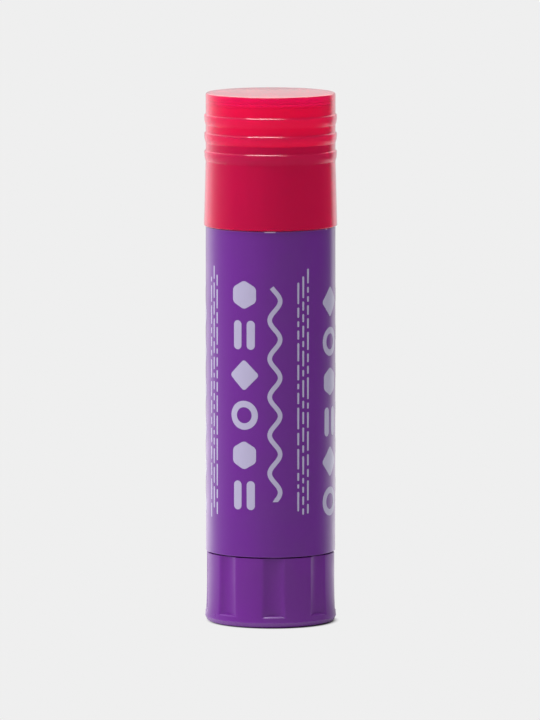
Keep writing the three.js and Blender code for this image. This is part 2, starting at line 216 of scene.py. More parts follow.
def product(nodes, links, first, second):
    """Two values multiplied."""
    multiply = nodes.new("ShaderNodeMath")
    multiply.operation = "MULTIPLY"
    links.new(first, multiply.inputs[0])
    links.new(second, multiply.inputs[1])
    return multiply.outputs["Value"]


def bumped(nodes, links, shader, value, distance):
    """A bump of the given depth in metres on the shader."""
    bump = nodes.new("ShaderNodeBump")
    bump.inputs["Strength"].default_value = 1
    bump.inputs["Distance"].default_value = distance
    links.new(value, bump.inputs["Height"])
    links.new(bump.outputs["Normal"], shader.inputs["Normal"])


# %% Moulded purple plastic, for the knob and the barrel
KNOB_COLOUR = (0.115, 0.0115, 0.2)
KNOB_SHADE = (0.102, 0.0095, 0.178)
BARREL_COLOUR = (0.1, 0.01, 0.175)
BARREL_SHADE = (0.088, 0.0085, 0.152)
NATURAL_COLOUR = (0.78, 0.76, 0.7)
NATURAL_SHADE = (0.72, 0.7, 0.64)
PLASTIC_IOR = 1.49
PLASTIC_GLOSS = 0.6
PLASTIC_GRAIN = 0.006 * MM


def moulded_plastic(name, colour, shade, smooth, rough):
    """Opaque moulded plastic: clouded colour, wandering gloss and a fine unevenness."""
    material, nodes, links, shader = shader_of(name)
    cloud = object_noise(nodes, links, scale=160)
    grain = object_noise(nodes, links, scale=1500, detail=4)
    links.new(blended(nodes, links, cloud, colour, shade), shader.inputs["Base Color"])
    links.new(spread(nodes, links, cloud, smooth, rough), shader.inputs["Roughness"])
    shader.inputs["IOR"].default_value = PLASTIC_IOR
    shader.inputs["Specular IOR Level"].default_value = PLASTIC_GLOSS
    bumped(nodes, links, shader, grain, PLASTIC_GRAIN)
    return material


knob_plastic = moulded_plastic("knob_plastic", KNOB_COLOUR, KNOB_SHADE, smooth=0.27, rough=0.38)
barrel_plastic = moulded_plastic("barrel_plastic", BARREL_COLOUR, BARREL_SHADE, smooth=0.3, rough=0.45)
natural_plastic = moulded_plastic("natural_plastic", NATURAL_COLOUR, NATURAL_SHADE, smooth=0.4, rough=0.55)

# %% [markdown]
# The cap is see-through red plastic, a little cloudy. Light that enters it comes out again tinted, and what
# lies behind the wall shows: above the barrel's mouth the cap glows, and below it the purple neck makes it
# dark. Real refraction does that by itself, in every pose. The outer face is a little rough and the inner
# face more so, which blurs what is far behind the wall and keeps what is close. A thin clear coat is the
# polished skin. The grip ribs are painted a paler pink, a painted glow that stands for light scattered in the
# thicker plastic, and a few specks of dust lie on the flat top.

# %% See-through red plastic for the cap
cap_low, cap_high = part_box("cap")
CAP_TOP = cap_high.z / MM
CAP_TOP_RADIUS = 10.5
RIBS_DEPTH = 10.95
CAP_COLOUR = (0.98, 0.004, 0.13)
CAP_SHADE = (0.96, 0.004, 0.11)
# The paler pink of the painted glow on the grip ribs.
PAINTED_RIB_GLOW = (0.98, 0.016, 0.15)
RIB_GLOW_START = 0.02
RIB_GLOW_FULL = 0.12
RIB_GLOW_FADE = 0.1
CAP_CLEARNESS = 0.73
CAP_GLOSS = 0.1
CAP_GRAIN = 0.004 * MM
SKIN_WEIGHT = 0.32
SKIN_IOR = 1.5
SKIN_ROUGHNESS = 0.1
DUST_SCALE = 900
DUST_SIZE = 0.1
DUST_SHARE = 0.95
DUST_FADE = 0.01
DUST_DEPTH = 0.1 * MM
DUST_STRENGTH = 0.6
DUST_COLOUR = (0.3, 0.12, 0.16)


def dust(nodes, links):
    """How strongly a speck of dust shows. Only a few cells of the pattern hold one, on the flat top."""
    place = nodes.new("ShaderNodeTexCoord")
    cells = nodes.new("ShaderNodeTexVoronoi")
    cells.inputs["Scale"].default_value = DUST_SCALE
    links.new(place.outputs["Object"], cells.inputs["Vector"])
    speck = spread(nodes, links, cells.outputs["Distance"], DUST_STRENGTH, 0, DUST_SIZE, DUST_SIZE * 2)
    split = nodes.new("ShaderNodeSeparateColor")
    links.new(cells.outputs["Color"], split.inputs["Color"])
    chosen = spread(nodes, links, split.outputs["Red"], 0, 1, DUST_SHARE, DUST_SHARE + DUST_FADE)
    height = nodes.new("ShaderNodeSeparateXYZ")
    links.new(place.outputs["Object"], height.inputs["Vector"])
    top = CAP_TOP * MM
    on_top = spread(nodes, links, height.outputs["Z"], 0, 1, top - DUST_DEPTH * 2, top - DUST_DEPTH)
    return product(nodes, links, product(nodes, links, speck, chosen), on_top)


def painted_rib_glow(nodes, links):
    """One on the grip ribs, where a paler pink is painted as a glow of light in the thicker plastic, and
    nought elsewhere.
    """
    place = nodes.new("ShaderNodeTexCoord")
    split = nodes.new("ShaderNodeSeparateXYZ")
    links.new(place.outputs["Object"], split.inputs["Vector"])
    flat = nodes.new("ShaderNodeCombineXYZ")
    links.new(split.outputs["X"], flat.inputs["X"])
    links.new(split.outputs["Y"], flat.inputs["Y"])
    out = nodes.new("ShaderNodeVectorMath")
    out.operation = "LENGTH"
    links.new(flat.outputs["Vector"], out.inputs[0])
    proud = spread(
        nodes, links, out.outputs["Value"], 0, 1,
        (CAP_TOP_RADIUS + RIB_GLOW_START) * MM, (CAP_TOP_RADIUS + RIB_GLOW_FULL) * MM)
    lowest = CAP_TOP - RIBS_DEPTH
    high = spread(
        nodes, links, split.outputs["Z"], 0, 1, (lowest - RIB_GLOW_FADE) * MM, lowest * MM)
    return product(nodes, links, proud, high)


def cap_red(name, smooth, rough):
    """Cloudy clear-tinted plastic with a polished skin, a painted glow on the ribs and some dust."""
    material, nodes, links, shader = shader_of(name)
    cloud = object_noise(nodes, links, scale=120)
    grain = object_noise(nodes, links, scale=900, detail=4)
    tint = blended(nodes, links, cloud, CAP_COLOUR, CAP_SHADE)
    # Painted glow: the grip ribs are painted a paler pink for light scattered in the thicker plastic.
    tint = overlaid(nodes, links, painted_rib_glow(nodes, links), tint, PAINTED_RIB_GLOW)
    tint = overlaid(nodes, links, dust(nodes, links), tint, DUST_COLOUR)
    links.new(tint, shader.inputs["Base Color"])
    links.new(spread(nodes, links, cloud, smooth, rough), shader.inputs["Roughness"])
    shader.inputs["IOR"].default_value = PLASTIC_IOR
    shader.inputs["Specular IOR Level"].default_value = CAP_GLOSS
    shader.inputs["Transmission Weight"].default_value = CAP_CLEARNESS
    shader.inputs["Coat Weight"].default_value = SKIN_WEIGHT
    shader.inputs["Coat Roughness"].default_value = SKIN_ROUGHNESS
    shader.inputs["Coat IOR"].default_value = SKIN_IOR
    bumped(nodes, links, shader, grain, CAP_GRAIN)
    return material


cap_plastic = cap_red("cap_red", smooth=0.13, rough=0.18)
cap_inner_plastic = cap_red("cap_inner_red", smooth=0.32, rough=0.4)

# %% [markdown]
# The label is a printed film with a clear skin, wrapped so tightly that it follows the barrel. Its cut edges
# show the pale core of the film, and its colour is chipped away there in a few places. The ink of the pattern
# is a paler lavender.

# %% Film and print
FILM_COLOUR = (0.108, 0.011, 0.2)
FILM_SHADE = (0.099, 0.0095, 0.185)
FILM_CORE = (0.6, 0.52, 0.66)
FILM_CORE_SHADE = (0.54, 0.46, 0.6)
PRINT_COLOUR = (0.327, 0.297, 0.433)
PRINT_SHADE = (0.3, 0.272, 0.4)
FILM_IOR = 1.5
FILM_SKIN_WEIGHT = 0.3
FILM_SKIN_ROUGHNESS = 0.12
FILM_RIPPLE = 0.03 * MM
CORE_RIPPLE = 0.01 * MM
CHIP_DEPTH = 0.14 * MM
CHIP_SCALE = 330
CHIP_RANGE = (0.64, 0.67)
EDGE_PALENESS = 0.04
CHIP_PALENESS = 0.75


def film(name, colour, shade, smooth, rough, ripple):
    """Printed film: even colour, satin gloss under a clear skin, and a long, shallow ripple."""
    material, nodes, links, shader = shader_of(name)
    cloud = object_noise(nodes, links, scale=220)
    wave = object_noise(nodes, links, scale=90, detail=1, stretch=(1, 1, 0.35))
    links.new(blended(nodes, links, cloud, colour, shade), shader.inputs["Base Color"])
    links.new(spread(nodes, links, cloud, smooth, rough), shader.inputs["Roughness"])
    shader.inputs["IOR"].default_value = FILM_IOR
    shader.inputs["Specular IOR Level"].default_value = PLASTIC_GLOSS
    shader.inputs["Coat Weight"].default_value = FILM_SKIN_WEIGHT
    shader.inputs["Coat Roughness"].default_value = FILM_SKIN_ROUGHNESS
    bumped(nodes, links, shader, wave, ripple)
    return material


def worn_edges(material, low, high):
    """Film whose print is chipped off its two cut edges, where the pale core shows."""
    nodes = material.node_tree.nodes
    links = material.node_tree.links
    shader = nodes["Principled BSDF"]
    print_colour = shader.inputs["Base Color"].links[0].from_socket
    place = nodes.new("ShaderNodeTexCoord")
    split = nodes.new("ShaderNodeSeparateXYZ")
    links.new(place.outputs["Object"], split.inputs["Vector"])
    from_middle = nodes.new("ShaderNodeMath")
    from_middle.operation = "SUBTRACT"
    from_middle.inputs[1].default_value = (low + high) / 2
    links.new(split.outputs["Z"], from_middle.inputs[0])
    away = nodes.new("ShaderNodeMath")
    away.operation = "ABSOLUTE"
    links.new(from_middle.outputs["Value"], away.inputs[0])
    half = (high - low) / 2
    edge = spread(nodes, links, away.outputs["Value"], 0, 1, half - CHIP_DEPTH, half)
    chips = object_noise(nodes, links, scale=CHIP_SCALE, detail=2, stretch=(1, 1, 0.4))
    chip = spread(nodes, links, chips, EDGE_PALENESS, CHIP_PALENESS, *CHIP_RANGE)
    worn = overlaid(nodes, links, product(nodes, links, edge, chip), print_colour, FILM_CORE)
    links.new(worn, shader.inputs["Base Color"])


label_film = film("label_film", FILM_COLOUR, FILM_SHADE, smooth=0.28, rough=0.36, ripple=FILM_RIPPLE)
label_core = film("label_core", FILM_CORE, FILM_CORE_SHADE, smooth=0.5, rough=0.6, ripple=CORE_RIPPLE)
label_ink = film("label_ink", PRINT_COLOUR, PRINT_SHADE, smooth=0.35, rough=0.45, ripple=FILM_RIPPLE)
label_low, label_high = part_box("wrap_label")
worn_edges(label_film, label_low.z, label_high.z)

# %% [markdown]
# The glue is a waxy stick that lets a little light in. It is kept a shade darker than paper, so that its
# round shape still shows under the lamps.

# %% Glue
GLUE_COLOUR = (0.58, 0.568, 0.518)
GLUE_SHADE = (0.545, 0.532, 0.482)
GLUE_SMOOTH = 0.38
GLUE_ROUGH = 0.6
GLUE_DEPTH_WEIGHT = 0.35
GLUE_DEPTH_TINT = (1, 0.9, 0.7)
GLUE_DEPTH = 0.8 * MM
GLUE_PITS = 0.03 * MM


def cast_glue():
    """Waxy white glue: light sinks in a little, and the cast surface has fine pits."""
    material, nodes, links, shader = shader_of("cast_glue")
    cloud = object_noise(nodes, links, scale=260)
    pits = object_noise(nodes, links, scale=1100, detail=5)
    links.new(blended(nodes, links, cloud, GLUE_COLOUR, GLUE_SHADE), shader.inputs["Base Color"])
    links.new(spread(nodes, links, pits, GLUE_SMOOTH, GLUE_ROUGH), shader.inputs["Roughness"])
    shader.inputs["Subsurface Weight"].default_value = GLUE_DEPTH_WEIGHT
    shader.inputs["Subsurface Radius"].default_value = GLUE_DEPTH_TINT
    shader.inputs["Subsurface Scale"].default_value = GLUE_DEPTH
    bumped(nodes, links, shader, pits, GLUE_PITS)
    return material


glue_white = cast_glue()

# %% [markdown]
# The cap is a thin cup with three grip ribs. Each rib is steep above and slopes away below, so its rounded
# upper edge catches the lamp overhead and its slope mirrors the pale floor. Below the ribs the skirt widens
# a little towards the barrel. The inner faces get the rougher of the two cap finishes.

# %% The cap
CAP_SEAT = 0.12
CAP_BOTTOM = cap_low.z / MM - CAP_SEAT
CAP_MOUTH_RADIUS = cap_high.x / MM
CAP_INNER_RADIUS = 9.8
CAP_ROOF = 1.2
RIB_COUNT = 3
RIB_PITCH = 2.93
RIB_BELOW_TOP = 3.34
RIB_HEIGHT = 0.225
RIB_STEEP = 0.22
RIB_FACE = 0.75
RIB_WIDTH = 1.75
RIB_FOOT = 0.06
INNER_TOLERANCE = 0.02
COLUMNS = 256


def cap_ribs():
    """The corners of the cap's grip ribs, from the lowest up."""
    corners = []
    for index in reversed(range(RIB_COUNT)):
        top = CAP_TOP - RIB_BELOW_TOP - index * RIB_PITCH
        corners.append((CAP_TOP_RADIUS, top - RIB_WIDTH, 0))
        corners.append((CAP_TOP_RADIUS + RIB_FOOT, top - RIB_WIDTH + RIB_FOOT, 0.03))
        corners.append((CAP_TOP_RADIUS + RIB_HEIGHT, top - RIB_STEEP - RIB_FACE, 0.35))
        corners.append((CAP_TOP_RADIUS + RIB_HEIGHT, top - RIB_STEEP, 0.14))
        corners.append((CAP_TOP_RADIUS, top, 0.04))
    return corners


cap_outline = rounded([
    (0, CAP_TOP - CAP_ROOF, 0),
    (CAP_INNER_RADIUS, CAP_TOP - CAP_ROOF, 1),
    (CAP_INNER_RADIUS, CAP_BOTTOM, 0.25),
    (CAP_MOUTH_RADIUS, CAP_BOTTOM, 0.15),
    *cap_ribs(),
    (CAP_TOP_RADIUS, CAP_TOP, 0.32),
    (0, CAP_TOP, 0),
])
cap = spun(cap_outline, COLUMNS)
for face in cap.faces:
    middle = face.calc_center_median()
    inside = middle.xy.length < (CAP_INNER_RADIUS + INNER_TOLERANCE) * MM
    if inside and middle.z < (CAP_TOP - CAP_ROOF / 2) * MM:
        face.material_index = 1
finished("cap_shell", cap, "cap", [cap_plastic, cap_inner_plastic], "cap")

# %% [markdown]
# The knob is a cup with eight shallow flutes for the fingers and a fine parting line round its flange. A
# flute is the path of a round cutter, open at the top under the seam and closed by a small ledge above the
# flange. The spin gives columns close enough to press the flutes in, and close rows where the ledges are.

# %% The base knob's outline
knob_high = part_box("base_knob")[1]
KNOB_TOP = knob_high.z / MM
KNOB_SEAT = 0.1
FLANGE_RADIUS = 10.645
KNOB_RADIUS = 10.425
FLANGE_HEIGHT = 0.95
FLANGE_CHAMFER = 0.3
PARTING_LINE = 0.04
PARTING_EDGE = 0.02
PARTING_REACH = 0.08
FLARE_HEIGHT = 7.5
LOWEST_FLARE_ROW = 1.5
FLARE_ROWS = (2.3, 2.8, 3.4, 4.2, 5, 6)
FOOT_RADIUS = 9.8
FOOT_INNER_RADIUS = 8.595
FOOT_RECESS = 0.8
FOOT_DRAFT = 0.3
KNOB_FLOOR = 2.4
LAND_RADIUS = 8.8
GROOVE_RADIUS = 9.3
GROOVE_LOW = 6.6
GROOVE_HIGH = 8.4
GROOVE_SLOPE = 0.5
SOCKET_RADIUS = 4.4
SOCKET_TOP = 9.96
SOCKET_HALF_WIDTH = 2.42
KNOB_COLUMNS = 320
LEDGE_HEIGHT = 1.73
LEDGE_CHAMFER = 0.2
LEDGE_SLOPE = 5
LEDGE_ROWS = 13
LEDGE_ROW_PITCH = 0.025


def knob_flare():
    """The parabola above the flange, with close rows where the flutes' ledges are."""
    ledge_rows = [LEDGE_HEIGHT + row * LEDGE_ROW_PITCH for row in range(LEDGE_ROWS)]
    points = []
    for height in (LOWEST_FLARE_ROW, *ledge_rows, *FLARE_ROWS, FLARE_HEIGHT):
        share = (height - FLANGE_HEIGHT) / (FLARE_HEIGHT - FLANGE_HEIGHT)
        radius = KNOB_RADIUS + (FLANGE_RADIUS - PARTING_LINE - KNOB_RADIUS) * (1 - share) ** 2
        points.append((radius, height, 0))
    return points


knob_outline = rounded([
    (0, FOOT_RECESS, 0),
    (FOOT_INNER_RADIUS - FOOT_DRAFT, FOOT_RECESS, 0.1),
    (FOOT_INNER_RADIUS, 0, 0.1),
    (FOOT_RADIUS, 0, 0.04),
    (FLANGE_RADIUS - FLANGE_CHAMFER, FLANGE_CHAMFER, 0.06),
    (FLANGE_RADIUS - PARTING_LINE, FLANGE_HEIGHT - PARTING_REACH, 0.02),
    (FLANGE_RADIUS, FLANGE_HEIGHT - PARTING_EDGE, 0.02),
    (FLANGE_RADIUS, FLANGE_HEIGHT + PARTING_EDGE, 0.02),
    (FLANGE_RADIUS - PARTING_LINE, FLANGE_HEIGHT + PARTING_REACH, 0.02),
    *knob_flare(),
    (KNOB_RADIUS, KNOB_TOP + KNOB_SEAT, 0.12),
    (LAND_RADIUS, KNOB_TOP + KNOB_SEAT, 0.2),
    (LAND_RADIUS, GROOVE_HIGH + GROOVE_SLOPE, 0),
    (GROOVE_RADIUS, GROOVE_HIGH, 0),
    (GROOVE_RADIUS, GROOVE_LOW, 0),
    (LAND_RADIUS, GROOVE_LOW - GROOVE_SLOPE, 0),
    (LAND_RADIUS, KNOB_FLOOR, 0.3),
    (SOCKET_RADIUS, KNOB_FLOOR, 0),
    (SOCKET_RADIUS, SOCKET_TOP, 0.15),
    (SOCKET_HALF_WIDTH, SOCKET_TOP, 0),
    (SOCKET_HALF_WIDTH, KNOB_FLOOR, 0),
    (0, KNOB_FLOOR, 0),
])
knob = spun(knob_outline, KNOB_COLUMNS)

# %% [markdown]
# Each point of the knob's side is drawn in to the cutter's surface, with a soft edge, and the ledge under it
# has a small chamfer that catches the lamp overhead. The socket for the spindle's square foot is spun as a
# round hole, whose points are then moved out to the square.

# %% The flutes and the socket
FLUTE_COUNT = 8
FLUTE_WIDTH = 3.3
FLUTE_DEPTH = 0.5
FLUTE_REACH = 0.35
FLUTE_TURN_DEGREES = 2.8
FLUTE_SOFTNESS = 0.13
RADIUS_TOLERANCE = 0.01

half_width = FLUTE_WIDTH / 2
flute_rise = FLUTE_DEPTH - (KNOB_RADIUS - math.sqrt(KNOB_RADIUS**2 - half_width**2))
cutter_radius = (half_width**2 + flute_rise**2) / (2 * flute_rise)
cutter_place = KNOB_RADIUS - FLUTE_DEPTH + cutter_radius


def flute_radius(turn):
    """How far from the axis the nearest flute's cutter passes, in a direction, or None beside it."""
    pitch = math.tau / FLUTE_COUNT
    offset = (turn - math.radians(FLUTE_TURN_DEGREES) + pitch / 2) % pitch - pitch / 2
    reach = cutter_radius**2 - (cutter_place * math.sin(offset)) ** 2
    if reach <= 0:
        return None
    return cutter_place * math.cos(offset) - math.sqrt(reach)


def softer_least(first, second, softness):
    """The smaller of two lengths, with a round transition between them."""
    overlap = max(softness - abs(first - second), 0) / softness
    return min(first, second) - overlap**2 * softness / 4


for point in knob.verts:
    radius = math.hypot(point.co.x, point.co.y) / MM
    height = point.co.z / MM
    turn = math.atan2(point.co.x, -point.co.y)
    cut = flute_radius(turn)
    if radius > KNOB_RADIUS - FLUTE_REACH and height > LEDGE_HEIGHT and cut is not None:
        pressed = softer_least(radius, cut, FLUTE_SOFTNESS)
        rise = height - LEDGE_HEIGHT
        ledge = radius - max(rise, LEDGE_CHAMFER + (rise - LEDGE_CHAMFER) * LEDGE_SLOPE)
        point.co.xy *= max(pressed, ledge) / radius
    if abs(radius - SOCKET_HALF_WIDTH) < RADIUS_TOLERANCE:
        point.co.xy /= max(abs(math.cos(turn)), abs(math.sin(turn)))
finished("knob_shell", knob, "knob", [knob_plastic], "base_knob")

# %% [markdown]
# The barrel shows only when the cap is off: its shoulder, the neck with its friction bead, the mouth, and the
# tops of three ribs that guide the glue. It is one moulding down to the spigot inside the knob.

# %% The barrel
barrel_low, barrel_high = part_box("barrel")
SEAM_HEIGHT = KNOB_TOP + 0.26
SPIGOT_END = barrel_low.z / MM
MOUTH_HEIGHT = barrel_high.z / MM
BODY_RADIUS = barrel_high.x / MM
SHOULDER_HEIGHT = SEAM_HEIGHT + 52.84
NECK_RADIUS = 9.45
BORE_RADIUS = 8.45
BEAD_RADIUS = 9.65
BEAD_MIDDLE = SHOULDER_HEIGHT + 3.6
BEAD_HALF_WIDTH = 0.6
SPIGOT_RADIUS = 8.6
SPIGOT_INNER = 7.7
SNAP_RADIUS = 9
SNAP_START = 0.4
SNAP_CREST = (1, 1.35)
SNAP_END = 1.6
FLOOR_TOP = SEAM_HEIGHT + 1.3
SPINDLE_HOLE = 3.15
GUIDE_COUNT = 3
GUIDE_HEIGHT = 0.6
GUIDE_HALF_WIDTH = 0.6
GUIDE_TOP = MOUTH_HEIGHT - 0.8
GUIDE_RAMP = 0.2

barrel_outline = rounded([
    (SPINDLE_HOLE, SEAM_HEIGHT, 0),
    (SPIGOT_INNER, SEAM_HEIGHT, 0.2),
    (SPIGOT_INNER, SPIGOT_END, 0.1),
    (SPIGOT_RADIUS, SPIGOT_END, 0.1),
    (SPIGOT_RADIUS, SPIGOT_END + SNAP_START, 0),
    (SNAP_RADIUS, SPIGOT_END + SNAP_CREST[0], 0.1),
    (SNAP_RADIUS, SPIGOT_END + SNAP_CREST[1], 0.1),
    (SPIGOT_RADIUS, SPIGOT_END + SNAP_END, 0),
    (SPIGOT_RADIUS, SEAM_HEIGHT, 0),
    (BODY_RADIUS, SEAM_HEIGHT, 0.12),
    (BODY_RADIUS, SHOULDER_HEIGHT, 0.12),
    (NECK_RADIUS, SHOULDER_HEIGHT, 0.1),
    (NECK_RADIUS, BEAD_MIDDLE - BEAD_HALF_WIDTH, 0.1),
    (BEAD_RADIUS, BEAD_MIDDLE, 0.35),
    (NECK_RADIUS, BEAD_MIDDLE + BEAD_HALF_WIDTH, 0.1),
    (NECK_RADIUS, MOUTH_HEIGHT, 0.3),
    (BORE_RADIUS, MOUTH_HEIGHT, 0.2),
    (BORE_RADIUS, GUIDE_TOP, 0),
    (BORE_RADIUS, GUIDE_TOP - GUIDE_RAMP, 0),
    (BORE_RADIUS, FLOOR_TOP, 0.2),
    (SPINDLE_HOLE, FLOOR_TOP, 0),
])
barrel = spun(barrel_outline, COLUMNS, closed=True)


def guide_offset(turn):
    """The angle to the nearest guide rib's middle."""
    pitch = math.tau / GUIDE_COUNT
    return (turn + math.pi + pitch / 2) % pitch - pitch / 2


for point in barrel.verts:
    radius = math.hypot(point.co.x, point.co.y) / MM
    turn = math.atan2(point.co.x, -point.co.y)
    on_bore = abs(radius - BORE_RADIUS) < RADIUS_TOLERANCE
    below_top = point.co.z / MM < GUIDE_TOP - GUIDE_RAMP / 2
    if on_bore and below_top and abs(guide_offset(turn)) * radius < GUIDE_HALF_WIDTH:
        point.co.xy *= (BORE_RADIUS - GUIDE_HEIGHT) / radius
finished("barrel_shell", barrel, "barrel", [barrel_plastic], "barrel")

# %% [markdown]
# The glue is cast in the barrel, so it fills the bore apart from a thin gap, has a groove for each guide rib,
# and shows a flat end with a soft shoulder. In use it wears away at its top while the carrier follows from
# below. The column gets a mesh of its own.

# %% The glue column
glue_low, glue_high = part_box("glue_stick")
GLUE_FOOT = glue_low.z / MM
GLUE_TOP = glue_high.z / MM
GLUE_RADIUS = 8.15
GLUE_FOOT_RADIUS = 7.2
GLUE_STEP = 25.16
GLUE_BORE = 3.25
GLUE_BORE_END = 73.16
GROOVE_DEPTH = 0.9
GROOVE_HALF_WIDTH = 0.9
GLUE_COLUMNS = 288

glue_outline = rounded([
    (0, GLUE_BORE_END, 0),
    (GLUE_BORE, GLUE_BORE_END, 0),
    (GLUE_BORE, GLUE_FOOT, 0),
    (GLUE_FOOT_RADIUS, GLUE_FOOT, 0),
    (GLUE_FOOT_RADIUS, GLUE_STEP, 0),
    (GLUE_RADIUS, GLUE_STEP, 0),
    (GLUE_RADIUS, GLUE_TOP, 0.9),
    (0, GLUE_TOP, 0),
])
glue = spun(glue_outline, GLUE_COLUMNS)
floor_radius = BORE_RADIUS - GROOVE_DEPTH
for point in glue.verts:
    radius = math.hypot(point.co.x, point.co.y) / MM
    turn = math.atan2(point.co.x, -point.co.y)
    if radius > floor_radius and abs(guide_offset(turn)) * radius < GROOVE_HALF_WIDTH:
        point.co.xy *= floor_radius / radius
glue_column = finished("glue_column", glue, "carriage", [glue_white], "glue_stick")
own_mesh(glue_column)

# %% [markdown]
# The label is a strip of film. It starts as a flat grid as long as the barrel's way round plus an overlap, is
# bent round the barrel, and gets its thickness last. Where its end lies over its beginning, at the back, it
# steps out by three quarters of its thickness, as if the two layers were pressed together.

# %% The wrap label
LABEL_BOTTOM = label_low.z / MM
LABEL_TOP = SHOULDER_HEIGHT - 0.02
LABEL_RADIUS = label_high.x / MM
FILM_THICKNESS = 0.12
STRIP_START_DEGREES = 174.5
OVERLAP_DEGREES = 18.5
OVERLAP_RAMP_DEGREES = 2.5
OVERLAP_STEP = 0.09
LABEL_COLUMNS = 300
LABEL_ROWS = 4


def film_radius(degrees):
    """The film's outer radius at a place on the strip, by the degrees from the front."""
    step = min(max((degrees - STRIP_START_DEGREES - 360) / OVERLAP_RAMP_DEGREES + 1, 0), 1)
    return LABEL_RADIUS + OVERLAP_STEP * step


label = bmesh.new()
bmesh.ops.create_grid(label, x_segments=LABEL_COLUMNS, y_segments=LABEL_ROWS, size=0.5)
for point in label.verts:
    degrees = STRIP_START_DEGREES + (point.co.x + 0.5) * (360 + OVERLAP_DEGREES)
    height = LABEL_BOTTOM + (point.co.y + 0.5) * (LABEL_TOP - LABEL_BOTTOM)
    radius = film_radius(degrees)
    turn = math.radians(degrees)
    point.co = Vector((radius * math.sin(turn), -radius * math.cos(turn), height)) * MM
bmesh.ops.recalc_face_normals(label, faces=label.faces)
outward = sum(face.normal.dot(Vector((*face.calc_center_median().xy, 0))) for face in label.faces)
if outward < 0:
    bmesh.ops.reverse_faces(label, faces=label.faces)
label_piece = finished("label_wrap", label, "barrel", [label_film, label_core], "wrap_label")
thicken = label_piece.modifiers.new("film_thickness", "SOLIDIFY")
thicken.thickness = FILM_THICKNESS * MM
thicken.offset = -1
thicken.material_offset_rim = 1

# %% [markdown]
# The print is a plain lavender pattern: large round-cornered motifs, waves, and rows of fine dashes. Each
# motif starts flat. A filled shape is a circle with few or many sides whose corners are bevelled, a ring is
# two circles with a bridge between them, a dash is a circle whose upper half is moved up, and a wave is a
# short edge that is extruded along a sine. The sheet of motifs is then sliced into narrow strips, so that it
# can be bent round the label, where it follows the film over its overlap. It gets the thickness of ink last.

# %% Flat motifs
INK_THICKNESS = 0.012
INK_LIFT = 0.004
SLICE = 0.3
SLICE_TOLERANCE = 0.0001
ROUND_SIDES = 48
DASH_SIDES = 12
DASH_TOLERANCE = 0.001
CORNER_SHARE = 0.2
BEVEL_STEPS = 5
UPRIGHT = Matrix.Rotation(math.radians(90), 4, "X")


def circle(sheet, across, height, radius, sides, filled):
    """A circle on the flat sheet, where x is the way round and z is up."""
    place = Matrix.Translation((across, 0, height)) @ UPRIGHT
    made = bmesh.ops.create_circle(sheet, cap_ends=filled, segments=sides, radius=radius, matrix=place)
    return made["verts"]


def soft_polygon(sheet, across, height, radius, sides):
    """A filled regular shape with round corners."""
    points = circle(sheet, across, height, radius, sides, filled=True)
    bmesh.ops.bevel(
        sheet, geom=points, affect="VERTICES", offset=radius * CORNER_SHARE, segments=BEVEL_STEPS,
        profile=0.5, material=-1)


def ring(sheet, across, height, radius, width):
    """A ring: two circles with a bridge between them."""
    outer = circle(sheet, across, height, radius, ROUND_SIDES, filled=False)
    inner = circle(sheet, across, height, radius - width, ROUND_SIDES, filled=False)
    edges = {edge for point in outer + inner for edge in point.link_edges}
    bmesh.ops.bridge_loops(sheet, edges=list(edges))


def dash(sheet, across, low, high, width, sides=DASH_SIDES):
    """A dash with round ends: a filled circle whose upper half is moved up."""
    middle = low + width / 2
    points = circle(sheet, across, middle, width / 2, sides, filled=True)
    upper = [point for point in points if point.co.z > middle - DASH_TOLERANCE]
    bmesh.ops.translate(sheet, verts=upper, vec=(0, 0, high - low - width))


def wave(sheet, across, low, high, width, swing, length):
    """A wavy line: a short edge that is extruded upwards along a sine."""
    steps = round((high - low) / SLICE)
    left = sheet.verts.new((across - width / 2, 0, low))
    right = sheet.verts.new((across + width / 2, 0, low))
    edge = sheet.edges.new((left, right))
    for step in range(1, steps + 1):
        height = low + (high - low) * step / steps
        grown = bmesh.ops.extrude_edge_only(sheet, edges=[edge])["geom"]
        edge = next(item for item in grown if isinstance(item, bmesh.types.BMEdge))
        phase = math.tau * (height - low) / length
        lean = math.atan(math.tau * swing / length * math.cos(phase))
        middle = Vector((across + swing * math.sin(phase), 0, height))
        reach = Vector((math.cos(lean), 0, -math.sin(lean))) * width / 2
        ends = sorted(edge.verts, key=lambda point: point.co.x)
        ends[0].co = middle - reach
        ends[1].co = middle + reach


# %% [markdown]
# The sheet has four bands. Each has a column of motifs, a wave and three columns of dashes. The kinds of
# motif are shifted from band to band and every second band stands a little higher, so that neighbours
# differ. The lengths of the dashes are drawn at random, from a fixed seed.

# %% The sheet of motifs
BAND_COUNT = 4
FIRST_COLUMN = 4.4
MOTIFS_PER_BAND = 6
MOTIF_KINDS = 4
MOTIF_RADIUS = 2.35
MOTIF_START = 8.4
MOTIF_STAGGER = 1.6
MOTIF_PITCH = 6.5
RING_WIDTH = 1.05
DIAMOND_SCALE = 1.1
BAR_WIDTH = 1.4
BAR_OFFSET = 1.15
WAVE_OFFSET = 5.1
WAVE_START = 6
WAVE_STAGGER = 3
WAVE_MARGIN = 9
WAVE_WIDTH = 0.75
WAVE_SWING = 0.85
WAVE_LENGTH = 6.2
DASH_OFFSETS = (9, 9.9, 10.8)
DASH_START = 4.5
DASH_STAGGER = 3
DASH_MARGIN = 8
DASH_WIDTH = 0.36
DASH_LENGTHS = (0.7, 3.6)
DASH_GAP = 0.55
DASH_SEED = 11
print_radius = LABEL_RADIUS + INK_LIFT
band_pitch = math.tau * print_radius / BAND_COUNT
dash_lengths = random.Random(DASH_SEED)

